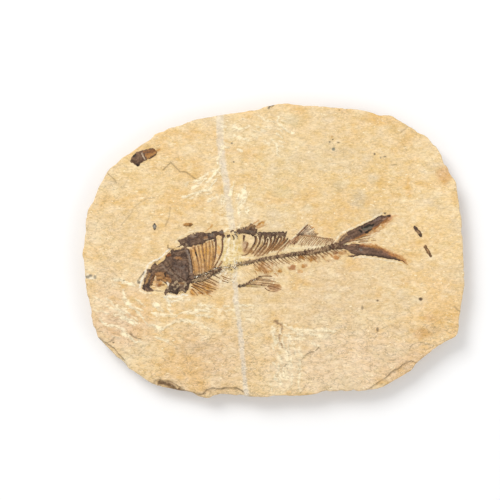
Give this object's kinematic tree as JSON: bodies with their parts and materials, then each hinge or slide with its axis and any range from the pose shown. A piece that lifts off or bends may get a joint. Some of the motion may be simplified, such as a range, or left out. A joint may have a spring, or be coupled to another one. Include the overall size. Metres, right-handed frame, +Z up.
{
  "type": "fossil fish slab",
  "caption": "Flattened fossil fish lying belly up on a thin hand-trimmed plate of pale limestone with a chipped edge and a flat back.",
  "frame": {"origin": "middle of the slab's flat back, under the middle of its outline", "axes": "+X along the fish towards its tail, +Y towards the fish's belly, +Z up out of the face that bears the fish"},
  "size_m": [0.1606, 0.124, 0.0115],
  "materials": {
    "limestone": "matt fine-grained yellow-tan limestone, split along its bedding",
    "dark_bone": "dark brown mineralised bone, faintly glossy",
    "gill_bone": "smooth near-black bone plate, faintly glossy",
    "rib_bone": "thin brown bone",
    "fin_bone": "brown fin rays and web with orange edges",
    "plant_film": "thin brown film",
    "pellet": "matt brown lump"
  },
  "bodies": {
    "root": {"limestone_slab": "limestone", "skull": "dark_bone", "belly_scutes_front": "dark_bone", "belly_scutes_middle": "dark_bone", "belly_scutes_rear": "dark_bone", "scute_crumb_round": "dark_bone", "scute_crumb_long": "dark_bone", "backbone_front_run": "dark_bone", "backbone": "dark_bone", "gill_cover": "gill_bone", "front_rib_01": "rib_bone", "front_rib_02": "rib_bone", "front_rib_03": "rib_bone", "front_rib_04": "rib_bone", "front_rib_05": "rib_bone", "front_rib_06": "rib_bone", "front_rib_07": "rib_bone", "front_rib_08": "rib_bone", "front_rib_09": "rib_bone", "front_rib_10": "rib_bone", "rear_rib_01": "rib_bone", "rear_rib_02": "rib_bone", "rear_rib_03": "rib_bone", "rear_rib_04": "rib_bone", "rear_rib_05": "rib_bone", "rear_rib_06": "rib_bone", "rear_rib_07": "rib_bone", "rear_rib_08": "rib_bone", "rear_rib_09": "rib_bone", "rear_rib_10": "rib_bone", "rear_rib_11": "rib_bone", "rear_rib_12": "rib_bone", "rear_rib_13": "rib_bone", "neck_spine_1": "rib_bone", "neck_spine_2": "rib_bone", "neck_spine_3": "rib_bone", "neck_spine_4": "rib_bone", "neck_spine_5": "rib_bone", "neck_spine_6": "rib_bone", "neck_spine_7": "rib_bone", "neck_spine_8": "rib_bone", "neck_spine_9": "rib_bone", "back_fin": "fin_bone", "back_fin_loose_ray_1": "fin_bone", "back_fin_loose_ray_2": "fin_bone", "back_fin_loose_ray_3": "fin_bone", "anal_fin": "fin_bone", "tail_upper_lobe": "fin_bone", "tail_lower_lobe": "fin_bone", "tail_middle_ray": "fin_bone", "scale_fragment": "plant_film", "plant_fragment_upper": "plant_film", "plant_fragment_lower": "plant_film", "brown_pellet": "pellet", "grey_pellet": "pellet"}
  },
  "joints": []
}
